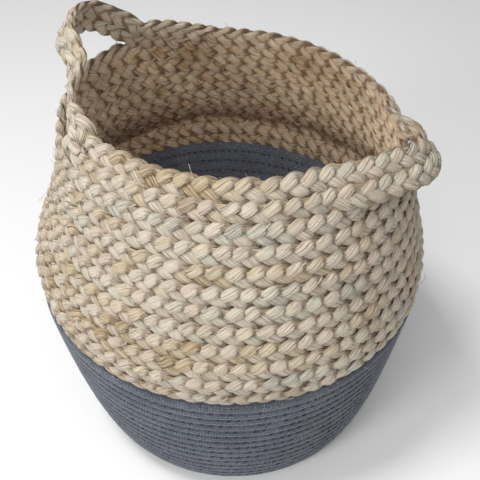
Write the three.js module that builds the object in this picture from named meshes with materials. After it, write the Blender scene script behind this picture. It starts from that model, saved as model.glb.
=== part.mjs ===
// Rope storage basket: a cotton rope coiled into a flat base and a lower wall, and above it a flat
// husk plait coiled into the belly and neck. The two top rows of plait leave the rim on each side
// as a loop handle that turns about the line through its two roots.
// Millimetres, +Z up. The origin is under the middle of the whole object, on the floor; -Y is the
// front.
import * as THREE from 'three';

// Profile of the basket along the middle of its wall, from the middle of the base up to the rim
const baseRadius = 113;        // flat part that stands on the floor
const heelRadius = 129;        // where the heel ends and the wall starts
const heelHeight = 16;
const heelRound = 10;          // reach of the heel's curve at both ends
const wallLean = 65;           // degrees above the floor at the heel
const wallFullness = 47;       // reach of the wall's curve above the heel
const bellyRadius = 166;
const bellyHeight = 177;
const bellyRoundBelow = 24;    // reach of the curve under the belly line
const bellyRoundAbove = 7;     // and above it, where the plait folds inwards
const neckRound = 30;          // reach of the neck's curve below the rim
const neckLean = 126;          // degrees, so the neck leans inwards
const rimRadius = 105;
const rimHeight = 319;
const lipReach = 24;           // straight run of the profile past the rim height

// How the soft wall has settled out of round
const bellyShift = [-4, 14];   // belly line, sideways and to the back
const rimShift = [2, -4];
const bellySlope = [-2, -14];  // rise of the belly line at the right, and fall at the back
const rimSlope = [1, -6];
const rimOval = [0.031, -0.029];
const rimWave = -2;
// Where the handles pull on the rim: angle, reach to each side, pull outwards and rise, and how far
// below the rim the pull starts and is complete
const pulls = [
  { angle: 174, reach: 60, out: 17, rise: 0, from: 90, to: 0 },
  { angle: 144, reach: 56, out: 0, rise: 25, from: 110, to: 22 },
  { angle: 130, reach: 45, out: -9, rise: -1, from: 34, to: 4 },
  { angle: -4, reach: 46, out: 5, rise: 0, from: 60, to: 0 },
];

// Rope
const ropeDiameter = 10;
const ropePitch = 10.2;        // row to row
const ropeFlat = 0.4;          // half height of the flattened cord, as a share of its diameter
const ropeStart = 5.5;         // distance of the first turn's middle line from the base's middle
const seamBelowBelly = 22;     // along the wall, at the front

// Plait
const plaitPitch = 15.1;       // row to row on the wall
const plaitThickness = 9;
const wallRows = 10;           // rows below the handles
const plaitTurns = 11.95;
const rowGap = 0.7;            // between the outlines of neighbouring rows
const joinAngle = 22;          // degrees from +X, where rope hands over to plait and the plait ends
const frontAngle = -90;

// Handles
const handlePitch = 14.5;       // row to row, where the band hangs free
const handleTrim = 0.6;        // off the lower edge of the lower row, clear of the row under it
const twistLength = 48;        // run over which the rows of the band draw together
const hingeGap = 1;            // from the plane through a root to the band
const rimGap = 2.2;            // and to the rows of the rim
const endGap = 0.5;            // between the ends of two lengths in line
const tailWidth = 0.45;        // of the plait's end, as a share of a row
// The middle of the band from the first root to the second, and which way its width points there
const leftLoop = [
  { at: [-91, 75, 338], width: [0.51, -0.36, 0.78] },
  { at: [-100, 69, 345], width: [0.53, -0.34, 0.77] },
  { at: [-112, 58, 354], width: [0.15, -0.48, 0.86] },
  { at: [-119, 49, 357], width: [0.15, -0.48, 0.86] },
  { at: [-125, 36, 360], width: [0.4, -0.4, 0.8] },
  { at: [-127, 22, 358], width: [0.5, -0.55, 0.65] },
  { at: [-121, 6, 354], width: [0.57, -0.6, 0.55] },
  { at: [-116, -3, 347], width: [0.57, -0.6, 0.55] },
  { at: [-117, -11, 340], width: [0.4, -0.65, 0.6] },
  { at: [-118, -22, 331], width: [0.2, -0.72, 0.66] },
  { at: [-117, -33, 321], width: [0.3, -0.5, 0.75] },
  { at: [-112, -45, 313], width: [0.5, 0, 0.8] },
];
const rightLoop = [
  { at: [92, -90, 308], width: [-0.2, 0.65, 0.73] },
  { at: [111, -79, 307], width: [-0.35, 0.6, 0.73] },
  { at: [122, -71, 306], width: [-0.4, 0.55, 0.73] },
  { at: [130, -64, 304], width: [-0.5, 0.4, 0.73] },
  { at: [136, -56, 303], width: [-0.6, 0.2, 0.73] },
  { at: [140, -46, 303], width: [-0.68, 0, 0.73] },
  { at: [138, -37, 305], width: [-0.55, -0.35, 0.73] },
  { at: [131, -32, 308], width: [-0.3, -0.5, 0.75] },
  { at: [123, -30, 311], width: [-0.55, -0.2, 0.8] },
];
// Angles of the roots, and the run of the band along the wall before it bends away
const leftHandle = { roots: [134, 205], run: 4, loop: leftLoop };
const rightHandle = { roots: [298, 355], run: 6, loop: rightLoop };

// Fineness of the coils
const stepsPerTurn = 20;
const handleSteps = 30;
const profileSamples = 400;

const huskColor = 0xcdb88f;
const ropeColor = 0x5f6671;
const huskMaterial = new THREE.MeshStandardMaterial({ color: huskColor, roughness: 0.9 });
const ropeMaterial = new THREE.MeshStandardMaterial({ color: ropeColor, roughness: 0.95 });

const radians = THREE.MathUtils.degToRad;
const vec2 = (x, y) => new THREE.Vector2(x, y);
const frontShare = turnShare(radians(frontAngle));

// Share of a turn from the join to an angle
function turnShare(angle) {
  const turn = (angle - radians(joinAngle)) / (2 * Math.PI);
  return turn - Math.floor(turn);
}

// The profile as distances along it with radius and height
function makeProfile() {
  const floor = ropeDiameter * ropeFlat;
  const heelStart = vec2(baseRadius, floor);
  const heelEnd = vec2(heelRadius, heelHeight);
  const belly = vec2(bellyRadius, bellyHeight);
  const rim = vec2(rimRadius, rimHeight);
  const wallWay = vec2(Math.cos(radians(wallLean)), Math.sin(radians(wallLean)));
  const neckWay = vec2(Math.cos(radians(neckLean)), Math.sin(radians(neckLean)));
  const curves = [
    new THREE.LineCurve(vec2(0, floor), heelStart),
    new THREE.CubicBezierCurve(heelStart, vec2(baseRadius + heelRound, floor),
      heelEnd.clone().addScaledVector(wallWay, -heelRound), heelEnd),
    new THREE.CubicBezierCurve(heelEnd, heelEnd.clone().addScaledVector(wallWay, wallFullness),
      vec2(bellyRadius, bellyHeight - bellyRoundBelow), belly),
    new THREE.CubicBezierCurve(belly, vec2(bellyRadius, bellyHeight + bellyRoundAbove),
      rim.clone().addScaledVector(neckWay, -neckRound), rim),
    new THREE.LineCurve(rim, rim.clone().addScaledVector(neckWay, lipReach)),
  ];
  const points = [];
  const marks = [];
  let run = 0;
  for (const curve of curves) {
    for (let i = points.length ? 1 : 0; i <= profileSamples; i += 1) {
      const p = curve.getPoint(i / profileSamples);
      if (points.length) run += p.distanceTo(points.at(-1).p);
      points.push({ s: run, p });
    }
    marks.push(run);
  }
  const [base, , bellyLine, rimLine] = marks;
  return { points, base, seam: bellyLine - seamBelowBelly, rim: rimLine, end: run };
}

const profile = makeProfile();

function profileAt(s) {
  const { points } = profile;
  let low = 0;
  let high = points.length - 1;
  while (high - low > 1) {
    const middle = (low + high) >> 1;
    if (points[middle].s <= s) low = middle;
    else high = middle;
  }
  const a = points[low];
  const b = points[high];
  return a.p.clone().lerp(b.p, (s - a.s) / (b.s - a.s));
}

// An angle brought to within half a turn of zero
function turnedBy(angle) {
  return Math.atan2(Math.sin(angle), Math.cos(angle));
}

// A point in the middle of the settled wall, at a distance along the profile
function wallPoint(s, angle) {
  const at = profileAt(s);
  const upper = THREE.MathUtils.smoothstep(s, profile.seam, profile.rim);
  const belly = THREE.MathUtils.smoothstep(s, profile.base, profile.seam) * (1 - upper);
  const [cos, sin] = [Math.cos(angle), Math.sin(angle)];
  const oval = rimOval[0] * Math.cos(2 * angle) + rimOval[1] * Math.sin(2 * angle);
  let radius = at.x * (1 + upper * oval);
  let pulled = 0;
  for (const { angle: centre, reach, out, rise, from, to } of pulls) {
    const far = Math.abs(turnedBy(angle - radians(centre))) / radians(reach);
    if (far > 1) continue;
    const share = Math.cos((far * Math.PI) / 2) ** 2
      * THREE.MathUtils.smoothstep(s, profile.rim - from, profile.rim - to);
    radius += out * share;
    pulled += rise * share;
  }
  const bellyRise = bellySlope[0] * cos - bellySlope[1] * sin;
  const rimRise = rimSlope[0] * cos - rimSlope[1] * sin + rimWave * Math.cos(2 * angle);
  return new THREE.Vector3(
    radius * cos + belly * bellyShift[0] + upper * rimShift[0],
    radius * sin + belly * bellyShift[1] + upper * rimShift[1],
    at.y + belly * bellyRise + upper * rimRise + pulled,
  );
}

// Middle of a row between its two edges on the wall, with the way across the row and its half width
function wallStation(turn, rowEdges, halfThickness, firstAngle) {
  const angle = firstAngle + 2 * Math.PI * turn;
  const [low, high] = rowEdges(turn).map((s) => wallPoint(s, angle));
  return {
    middle: low.clone().add(high).multiplyScalar(0.5),
    across: high.clone().sub(low).normalize(),
    halfWidth: (low.distanceTo(high) - rowGap) / 2,
    halfThickness,
  };
}

// Turn counts where the coils start and end, and the edges of their rows along the profile
const ropeTop = profile.seam + ropePitch * (1 - frontShare);
const ropeTurns = (ropeTop - ropePitch / 2 - ropeStart) / ropePitch;
const ropeFirstAngle = radians(joinAngle) - 2 * Math.PI * ropeTurns;
const ropeEdges = (turn) => {
  const middle = ropeStart + ropePitch * turn;
  return [middle - ropePitch / 2, middle + ropePitch / 2];
};
const plaitEdges = (turn) => {
  const low = turn < 1 ? ropeTop - ropePitch * (1 - turn) : ropeTop + plaitPitch * (turn - 1);
  return [low, ropeTop + plaitPitch * turn];
};
const ropeStation = (turn) => wallStation(
  turn, ropeEdges, ropeDiameter * ropeFlat, ropeFirstAngle);
const plaitStation = (turn) => wallStation(
  turn, plaitEdges, plaitThickness / 2, radians(joinAngle));

// Six-sided outline of a row round each station, joined into one closed tube
function tubeGeometry(stations) {
  const sides = 6;
  const positions = [];
  const index = [];
  stations.forEach((station, i) => {
    const before = stations[Math.max(i - 1, 0)].middle;
    const after = stations[Math.min(i + 1, stations.length - 1)].middle;
    const along = station.along ?? after.clone().sub(before).normalize();
    const out = along.clone().cross(station.across).normalize();
    const across = out.clone().cross(along).normalize();
    for (const [a, b] of [[1, 0], [0.5, 1], [-0.5, 1], [-1, 0], [-0.5, -1], [0.5, -1]]) {
      const p = station.middle.clone()
        .addScaledVector(across, a * station.halfWidth)
        .addScaledVector(out, b * station.halfThickness);
      if (station.cut) {
        const off = p.clone().sub(station.middle).dot(station.cut) / along.dot(station.cut);
        p.addScaledVector(along, -off);
      }
      positions.push(...p);
    }
    if (i === 0) return;
    const [low, high] = [(i - 1) * sides, i * sides];
    for (let k = 0; k < sides; k += 1) {
      const next = (k + 1) % sides;
      index.push(low + k, high + k, high + next, low + k, high + next, low + next);
    }
  });
  const last = (stations.length - 1) * sides;
  for (let k = 1; k < sides - 1; k += 1) {
    index.push(0, k, k + 1, last, last + k + 1, last + k);
  }
  const geometry = new THREE.BufferGeometry();
  geometry.setAttribute('position', new THREE.Float32BufferAttribute(positions, 3));
  geometry.setIndex(volumeOf(positions, index) < 0 ? index.reverse() : index);
  geometry.computeVertexNormals();
  return geometry;
}

function volumeOf(positions, index) {
  const corner = (i) => new THREE.Vector3().fromArray(positions, 3 * index[i]);
  let volume = 0;
  for (let i = 0; i < index.length; i += 3) {
    volume += corner(i).dot(corner(i + 1).cross(corner(i + 2))) / 6;
  }
  return volume;
}

// Stations at whole steps of the turn, so that neighbouring rows have their corners side by side,
// with both ends cut square to the row
function coilStations(station, from, to, phase = 0) {
  const turns = [from];
  const margin = 0.3;           // of a step, kept clear before an end
  for (let k = Math.ceil((from - phase) * stepsPerTurn + margin); ; k += 1) {
    const turn = phase + k / stepsPerTurn;
    if (turn > to - margin / stepsPerTurn) break;
    turns.push(turn);
  }
  const stations = [...turns, to].map(station);
  for (const [i, turn] of [[0, from], [stations.length - 1, to]]) {
    const nudge = 0.001;
    const ahead = station(turn + nudge).middle;
    stations[i].cut = ahead.sub(station(turn - nudge).middle).normalize();
  }
  return stations;
}

// Least distance from the outline of a coil to its own next turn, measured on points
function leastGap(stations, geometry) {
  const place = geometry.getAttribute('position');
  const point = (i) => new THREE.Vector3().fromBufferAttribute(place, i);
  const sides = 6;
  let least = Infinity;
  for (let i = 0; i < stations.length; i += 1) {
    for (let j = i + stepsPerTurn - 2; j <= i + stepsPerTurn + 2 && j < stations.length; j += 1) {
      for (let k = 0; k < sides; k += 1) {
        for (let m = 0; m < sides; m += 1) {
          least = Math.min(least, point(i * sides + k).distanceTo(point(j * sides + m)));
        }
      }
    }
  }
  return least;
}

const basket = new THREE.Group();
basket.name = 'rope_storage_basket';

function addPiece(name, stations, material) {
  const piece = new THREE.Mesh(tubeGeometry(stations), material);
  piece.name = name;
  basket.add(piece);
  return piece;
}

function addCoil(name, stations, material) {
  const piece = addPiece(name, stations, material);
  console.log(`${name}: ${stations.length} steps, least gap ${leastGap(stations, piece.geometry)
    .toFixed(2)} mm`);
}

// The base's coil ends at the front, and the wall's coil starts there
const radiusAt = (turn) => profileAt(ropeStart + ropePitch * turn).x;
const stepPhase = ropeTurns - Math.floor(ropeTurns * stepsPerTurn) / stepsPerTurn;
const flatTurns = (profile.base - ropePitch / 2 - ropeStart) / ropePitch;
const frontPhase = ropeTurns - 1 + Math.round(frontShare * stepsPerTurn) / stepsPerTurn;
const baseTurns = frontPhase - Math.ceil(frontPhase - flatTurns);
const endGapTurns = endGap / (2 * Math.PI * radiusAt(baseTurns));
addCoil('base_rope_coil',
  coilStations(ropeStation, 0, baseTurns - endGapTurns / 2, stepPhase), ropeMaterial);
addCoil('wall_rope_coil',
  coilStations(ropeStation, baseTurns + endGapTurns / 2, ropeTurns, stepPhase), ropeMaterial);

// A handle: its two roots on the wall, and the band of two rows between them
const bandEdges = (turn) => [plaitEdges(turn)[0], plaitEdges(turn + 1)[1]];

function makeHandle({ roots, run, loop }) {
  const turns = roots.map((angle) => wallRows + (angle - joinAngle) / 360);
  const bandStation = (turn) => wallStation(
    turn, bandEdges, plaitThickness / 2, radians(joinAngle));
  const [first, last] = turns.map(bandStation);
  const [start, end] = [first.middle, last.middle];
  const rootTurn = run / (2 * Math.PI * rimRadius);
  const points = [start, bandStation(turns[0] + rootTurn).middle,
    ...loop.map(({ at }) => new THREE.Vector3(...at)),
    bandStation(turns[1] - rootTurn).middle, end];
  const widths = [first.across, first.across,
    ...loop.map(({ width }) => new THREE.Vector3(...width).normalize()),
    last.across, last.across];
  return {
    turns,
    path: new THREE.CatmullRomCurve3(points, false, 'centripetal'),
    widths,
    middle: start.clone().add(end).multiplyScalar(0.5),
    axis: end.clone().sub(start).normalize(),
    half: start.distanceTo(end) / 2,
  };
}

// One row of a handle's band; shift is -1 for the lower row and 1 for the upper
function handleRow(handle, shift) {
  const { path, widths, axis } = handle;
  const length = path.getLength();
  const stations = [];
  for (let i = 0; i <= handleSteps; i += 1) {
    const share = i / handleSteps;
    const middle = path.getPointAt(share);
    const along = path.getTangentAt(share);
    const place = path.getUtoTmapping(share) * (widths.length - 1);
    const before = Math.min(Math.floor(place), widths.length - 2);
    const across = widths[before].clone().lerp(widths[before + 1], place - before);
    across.addScaledVector(along, -across.dot(along)).normalize();
    const run = length * Math.min(share, 1 - share);
    const pitch = THREE.MathUtils.lerp(plaitPitch, handlePitch,
      THREE.MathUtils.smoothstep(run, 0, twistLength));
    const trim = shift < 0 ? handleTrim : 0;
    middle.addScaledVector(across, (shift * pitch + trim) / 2);
    const station = {
      middle,
      along,
      across,
      halfWidth: (pitch - rowGap - trim) / 2,
      halfThickness: plaitThickness / 2,
    };
    if (i === 0 || i === handleSteps) {
      const edge = (handle.half - hingeGap) * (i === 0 ? -1 : 1);
      const off = middle.clone().sub(handle.middle).dot(axis) - edge;
      middle.addScaledVector(along, -off / along.dot(axis));
      station.cut = axis;
    }
    stations.push(station);
  }
  return stations;
}

// A length of a rim row between two handles, its ends cut square to the handles' axes
function rimRow(from, to, before, after) {
  const stations = coilStations(plaitStation, from, to);
  for (const [i, handle, edge] of [[0, before, 1], [stations.length - 1, after, -1]]) {
    if (!handle) continue;
    const station = stations[i];
    const next = stations[i === 0 ? 1 : i - 1].middle;
    const along = next.clone().sub(station.middle).normalize();
    const off = station.middle.clone().sub(handle.middle).dot(handle.axis)
      - (handle.half + rimGap) * edge;
    station.middle.addScaledVector(along, -off / along.dot(handle.axis));
    station.cut = handle.axis;
  }
  return stations;
}

const left = makeHandle(leftHandle);
const right = makeHandle(rightHandle);
const plaitStart = endGap / (2 * Math.PI * bellyRadius);
addCoil('belly_plait_coil', rimRow(plaitStart, left.turns[0], null, left), huskMaterial);
addPiece('front_rim_lower_row', rimRow(left.turns[1], right.turns[0], left, right), huskMaterial);
addPiece('front_rim_upper_row',
  rimRow(left.turns[1] + 1, right.turns[0] + 1, left, right), huskMaterial);
addPiece('back_rim_upper_row', rimRow(right.turns[1], left.turns[0] + 1, right, left), huskMaterial);
addPiece('left_handle_lower_row', handleRow(left, -1), huskMaterial);
addPiece('left_handle_upper_row', handleRow(left, 1), huskMaterial);
addPiece('right_handle_lower_row', handleRow(right, -1), huskMaterial);
addPiece('right_handle_upper_row', handleRow(right, 1), huskMaterial);
const tail = rimRow(right.turns[1] + 1, plaitTurns, right, null);
tail.at(-1).halfWidth *= tailWidth;
addPiece('plait_end', tail, huskMaterial);

// Set the middle of the whole object's box over the origin
const box = new THREE.Box3().setFromObject(basket);
const home = box.getCenter(new THREE.Vector3()).setZ(box.min.z).negate();
for (const piece of basket.children) piece.geometry.translate(...home);

const triangles = basket.children.reduce((sum, m) => sum + m.geometry.index.count / 3, 0);
console.log(`${basket.children.length} pieces, ${triangles} triangles`);
const mm = (v, digits = 1) => v.toArray().map((x) => x.toFixed(digits)).join(', ');
console.log(`middle of the base: ${mm(home, 2)}`);
for (const [name, handle] of [['left', left], ['right', right]]) {
  const middle = handle.middle.clone().add(home);
  console.log(`${name} handle: middle ${mm(middle)}, axis ${mm(handle.axis, 5)}`);
}

export default basket;
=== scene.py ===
import math

import bpy
import numpy as np
from mathutils import Matrix, Vector


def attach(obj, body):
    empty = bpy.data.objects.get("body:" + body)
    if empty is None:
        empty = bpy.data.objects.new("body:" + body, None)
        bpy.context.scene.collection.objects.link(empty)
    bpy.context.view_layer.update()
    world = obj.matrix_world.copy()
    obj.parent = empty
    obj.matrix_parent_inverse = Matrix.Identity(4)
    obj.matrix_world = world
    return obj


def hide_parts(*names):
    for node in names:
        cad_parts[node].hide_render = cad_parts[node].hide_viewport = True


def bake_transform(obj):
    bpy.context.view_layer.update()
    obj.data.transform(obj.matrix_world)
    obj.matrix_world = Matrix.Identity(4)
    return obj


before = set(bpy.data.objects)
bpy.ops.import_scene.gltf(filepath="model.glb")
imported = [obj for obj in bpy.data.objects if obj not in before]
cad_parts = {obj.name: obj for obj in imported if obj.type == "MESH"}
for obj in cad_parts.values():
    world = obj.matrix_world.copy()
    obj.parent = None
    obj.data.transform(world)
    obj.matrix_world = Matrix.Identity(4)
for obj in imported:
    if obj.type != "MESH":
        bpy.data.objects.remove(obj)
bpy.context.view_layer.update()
scene = bpy.context.scene
# the part's own shift; forms are in millimetres, and looks, lamps and camera in metres
home = np.array([3.80, -13.67, 0.0])

# the settled wall, by the same rule as the solids
wallShape = {
    "floor": 4, "baseRadius": 113, "heelRadius": 129, "heelHeight": 16, "heelRound": 10,
    "wallLean": 65, "wallFullness": 47, "bellyRadius": 166, "bellyHeight": 177,
    "bellyRoundBelow": 24, "bellyRoundAbove": 7, "neckRound": 30, "neckLean": 126,
    "rimRadius": 105, "rimHeight": 319, "lipReach": 24, "seamBelowBelly": 22,
    "bellyShift": (-4, 14), "rimShift": (2, -4), "bellySlope": (-2, -14), "rimSlope": (1, -6),
    "rimOval": (0.031, -0.029), "rimWave": -2,
    # where a handle pulls on the rim: angle, reach, out, rise, starts and is full below the rim
    "pulls": ((174, 60, 17, 0, 90, 0), (144, 56, 0, 25, 110, 22),
              (130, 45, -9, -1, 34, 4), (-4, 46, 5, 0, 60, 0)),
}
rope = {"pitch": 10.2, "start": 5.5, "joinAngle": 22.0, "frontAngle": -90.0, "stepsPerTurn": 20}
plait = {"pitch": 15.1, "wallRows": 10, "turns": 11.95, "handlePitch": 14.5, "twistLength": 48.0}
profileSteps = 400   # samples of each curve of the profile
samplesPerTurn = {"rope": 600, "plait": 440}


def bezier(points):
    t = np.linspace(0, 1, profileSteps + 1)[:, None]
    p = [np.array(q, float) for q in points]
    if len(p) == 2:
        return p[0] * (1 - t) + p[1] * t
    return (p[0] * (1 - t) ** 3 + 3 * p[1] * t * (1 - t) ** 2
            + 3 * p[2] * t ** 2 * (1 - t) + p[3] * t ** 3)


def makeProfile(w):
    heelStart = np.array([w["baseRadius"], w["floor"]], float)
    heelEnd = np.array([w["heelRadius"], w["heelHeight"]], float)
    belly = np.array([w["bellyRadius"], w["bellyHeight"]], float)
    rim = np.array([w["rimRadius"], w["rimHeight"]], float)
    wallWay, neckWay = (np.array([math.cos(math.radians(lean)), math.sin(math.radians(lean))])
                        for lean in (w["wallLean"], w["neckLean"]))
    curves = [
        bezier([(0, w["floor"]), heelStart]),
        bezier([heelStart, heelStart + (w["heelRound"], 0), heelEnd - wallWay * w["heelRound"], heelEnd]),
        bezier([heelEnd, heelEnd + wallWay * w["wallFullness"],
                belly - (0, w["bellyRoundBelow"]), belly]),
        bezier([belly, belly + (0, w["bellyRoundAbove"]), rim - neckWay * w["neckRound"], rim]),
        bezier([rim, rim + neckWay * w["lipReach"]]),
    ]
    points = np.vstack([curves[0]] + [c[1:] for c in curves[1:]])
    run = np.concatenate([[0], np.cumsum(np.linalg.norm(np.diff(points, axis=0), axis=1))])
    marks = run[[profileSteps * (i + 1) for i in range(5)]]
    return {"run": run, "radius": points[:, 0], "height": points[:, 1], "base": marks[0],
            "seam": marks[2] - w["seamBelowBelly"], "rim": marks[3]}


profile = makeProfile(wallShape)


def smoothStep(x, low, high):
    t = np.clip((np.asarray(x, float) - low) / (high - low), 0, 1)
    return t * t * (3 - 2 * t)


def wallPoint(s, angle):
    # points in the middle of the wall, for distances along the profile and angles
    w = wallShape
    s, angle = np.broadcast_arrays(np.asarray(s, float), np.asarray(angle, float))
    radius = np.interp(s, profile["run"], profile["radius"])
    height = np.interp(s, profile["run"], profile["height"])
    upper = smoothStep(s, profile["seam"], profile["rim"])
    belly = smoothStep(s, profile["base"], profile["seam"]) * (1 - upper)
    cos, sin = np.cos(angle), np.sin(angle)
    oval = w["rimOval"][0] * np.cos(2 * angle) + w["rimOval"][1] * np.sin(2 * angle)
    radius = radius * (1 + upper * oval)
    pulled = np.zeros_like(radius)
    for centre, reach, out, rise, start, full in w["pulls"]:
        turned = angle - math.radians(centre)
        far = np.abs(np.arctan2(np.sin(turned), np.cos(turned))) / math.radians(reach)
        share = np.where(far < 1, np.cos(np.minimum(far, 1) * math.pi / 2) ** 2, 0)
        share = share * smoothStep(s, profile["rim"] - start, profile["rim"] - full)
        radius = radius + out * share
        pulled = pulled + rise * share
    bellyRise = w["bellySlope"][0] * cos - w["bellySlope"][1] * sin
    rimRise = w["rimSlope"][0] * cos - w["rimSlope"][1] * sin + w["rimWave"] * np.cos(2 * angle)
    return np.stack([
        radius * cos + belly * w["bellyShift"][0] + upper * w["rimShift"][0],
        radius * sin + belly * w["bellyShift"][1] + upper * w["rimShift"][1],
        height + belly * bellyRise + upper * rimRise + pulled,
    ], -1)


join = math.radians(rope["joinAngle"])
frontShare = ((rope["frontAngle"] - rope["joinAngle"]) / 360) % 1
ropeTop = profile["seam"] + rope["pitch"] * (1 - frontShare)
ropeTurns = (ropeTop - rope["pitch"] / 2 - rope["start"]) / rope["pitch"]
flatTurns = (profile["base"] - rope["pitch"] / 2 - rope["start"]) / rope["pitch"]
frontPhase = ropeTurns - 1 + round(frontShare * rope["stepsPerTurn"]) / rope["stepsPerTurn"]
baseTurns = frontPhase - math.ceil(frontPhase - flatTurns)


def ropeEdges(turn):
    middle = rope["start"] + rope["pitch"] * turn
    return middle - rope["pitch"] / 2, middle + rope["pitch"] / 2


def plaitEdges(turn):
    low = np.where(turn < 1, ropeTop - rope["pitch"] * (1 - turn), ropeTop + plait["pitch"] * (turn - 1))
    return low, ropeTop + plait["pitch"] * turn


def unit(v):
    return v / np.linalg.norm(v, axis=-1, keepdims=True)


def rowOnWall(turn, edges, firstAngle):
    # middle of a row, the way across it and its width
    angle = firstAngle + 2 * math.pi * turn
    low, high = (wallPoint(s, angle) for s in edges(turn))
    return (low + high) / 2, unit(high - low), np.linalg.norm(high - low, axis=-1)


def plaitOnWall(turn):
    return rowOnWall(turn, plaitEdges, join)


# a handle's band: its middle points, each with the way its width points, as in the solids
leftHandle = {
    "roots": (134, 205), "run": 4,
    "loop": (((-91, 75, 338), (0.51, -0.36, 0.78)), ((-100, 69, 345), (0.53, -0.34, 0.77)),
             ((-112, 58, 354), (0.15, -0.48, 0.86)), ((-119, 49, 357), (0.15, -0.48, 0.86)),
             ((-125, 36, 360), (0.4, -0.4, 0.8)), ((-127, 22, 358), (0.5, -0.55, 0.65)),
             ((-121, 6, 354), (0.57, -0.6, 0.55)), ((-116, -3, 347), (0.57, -0.6, 0.55)),
             ((-117, -11, 340), (0.4, -0.65, 0.6)), ((-118, -22, 331), (0.2, -0.72, 0.66)),
             ((-117, -33, 321), (0.3, -0.5, 0.75)), ((-112, -45, 313), (0.5, 0, 0.8))),
}
rightHandle = {
    "roots": (298, 355), "run": 6,
    "loop": (((92, -90, 308), (-0.2, 0.65, 0.73)), ((111, -79, 307), (-0.35, 0.6, 0.73)),
             ((122, -71, 306), (-0.4, 0.55, 0.73)), ((130, -64, 304), (-0.5, 0.4, 0.73)),
             ((136, -56, 303), (-0.6, 0.2, 0.73)), ((140, -46, 303), (-0.68, 0, 0.73)),
             ((138, -37, 305), (-0.55, -0.35, 0.73)), ((131, -32, 308), (-0.3, -0.5, 0.75)),
             ((123, -30, 311), (-0.55, -0.2, 0.8))),
}


def centripetal(points, perSpan=24):
    # smooth curve through the points, with the place of each sample counted in points
    ext = np.vstack([2 * points[0] - points[1], points, 2 * points[-1] - points[-2]])
    out, place = [], []
    for i in range(1, len(ext) - 2):
        p = ext[i - 1:i + 3]
        d = np.maximum(np.linalg.norm(np.diff(p, axis=0), axis=1), 1e-6) ** 0.5
        t1 = (p[1] - p[0]) / d[0] - (p[2] - p[0]) / (d[0] + d[1]) + (p[2] - p[1]) / d[1]
        t2 = (p[2] - p[1]) / d[1] - (p[3] - p[1]) / (d[1] + d[2]) + (p[3] - p[2]) / d[2]
        t1, t2 = t1 * d[1], t2 * d[1]
        last = i == len(ext) - 3
        u = np.linspace(0, 1, perSpan + 1)[: None if last else -1][:, None]
        out.append((2 * u ** 3 - 3 * u ** 2 + 1) * p[1] + (u ** 3 - 2 * u ** 2 + u) * t1
                   + (-2 * u ** 3 + 3 * u ** 2) * p[2] + (u ** 3 - u ** 2) * t2)
        place.append(i - 1 + u[:, 0])
    return np.vstack(out), np.concatenate(place)


def turnAt(angle, row):
    return plait["wallRows"] + row + (angle - rope["joinAngle"]) / 360


def bandAt(turn):
    # middle of the two rim rows, and the way across them
    angle = join + 2 * math.pi * turn
    low, high = wallPoint(plaitEdges(turn)[0], angle), wallPoint(plaitEdges(turn + 1)[1], angle)
    return (low + high) / 2, unit(high - low)


def handleRow(handle, shift):
    # one row of a handle's band; shift is -1 for the lower row and 1 for the upper
    first, last = (turnAt(angle, 0) for angle in handle["roots"])
    lead = handle["run"] / (2 * math.pi * wallShape["rimRadius"])
    (start, startAcross), (end, endAcross) = bandAt(first), bandAt(last)
    points = np.vstack([start, bandAt(first + lead)[0], [p for p, _ in handle["loop"]],
                        bandAt(last - lead)[0], end])
    widths = unit(np.vstack([startAcross, startAcross, [w for _, w in handle["loop"]],
                             endAcross, endAcross]).astype(float))
    middle, place = centripetal(points)
    across = np.stack([np.interp(place, range(len(widths)), widths[:, k]) for k in range(3)], -1)
    along = unit(np.gradient(middle, axis=0))
    across = unit(across - along * (across * along).sum(-1, keepdims=True))
    run = np.concatenate([[0], np.cumsum(np.linalg.norm(np.diff(middle, axis=0), axis=1))])
    free = smoothStep(np.minimum(run, run[-1] - run), 0, plait["twistLength"])
    pitch = plait["pitch"] * (1 - free) + plait["handlePitch"] * free
    return middle + across * (shift * pitch / 2)[:, None], across, pitch


def wallRun(start, end):
    count = max(int((end - start) * samplesPerTurn["plait"]), 6)
    return plaitOnWall(np.linspace(start, end, count))


leftBackRoot, leftFrontRoot = leftHandle["roots"]
rightFrontRoot, rightBackRoot = rightHandle["roots"]
# the whole plait as one path, in the parts where it leaves and meets the wall
plaitParts = [
    ("belly", wallRun(0, turnAt(leftBackRoot, 0))),
    ("leftLower", handleRow(leftHandle, -1)),
    ("frontLower", wallRun(turnAt(leftFrontRoot, 0), turnAt(rightFrontRoot, 0))),
    ("rightLower", handleRow(rightHandle, -1)),
    ("backUpper", wallRun(turnAt(rightBackRoot, 0), turnAt(leftBackRoot, 1))),
    ("leftUpper", handleRow(leftHandle, 1)),
    ("frontUpper", wallRun(turnAt(leftFrontRoot, 1), turnAt(rightFrontRoot, 1))),
    ("rightUpper", handleRow(rightHandle, 1)),
    ("end", wallRun(turnAt(rightBackRoot, 1), plait["turns"])),
]


def evenly(path, values, step):
    # samples at even steps along a path: its own run, the even run and the values there
    run = np.concatenate([[0], np.cumsum(np.linalg.norm(np.diff(path, axis=0), axis=1))])
    even = np.arange(0, run[-1], step)
    return run, even, [np.stack([np.interp(even, run, v[:, k]) for k in range(v.shape[1])], -1)
                       for v in values]


def smoothed(values, reach):
    # moving average that keeps the two ends
    weights = np.hanning(2 * reach + 3)[1:-1]
    weights /= weights.sum()
    padded = np.vstack([np.repeat(values[:1], reach, 0), values, np.repeat(values[-1:], reach, 0)])
    return np.stack([np.convolve(padded[:, k], weights, "valid") for k in range(values.shape[1])], -1)


def frameOf(middle, across):
    # along the path, across the row and out of the wall
    along = unit(np.gradient(middle, axis=0))
    across = unit(across - along * (across * along).sum(-1, keepdims=True))
    return along, across, np.cross(along, across)


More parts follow.
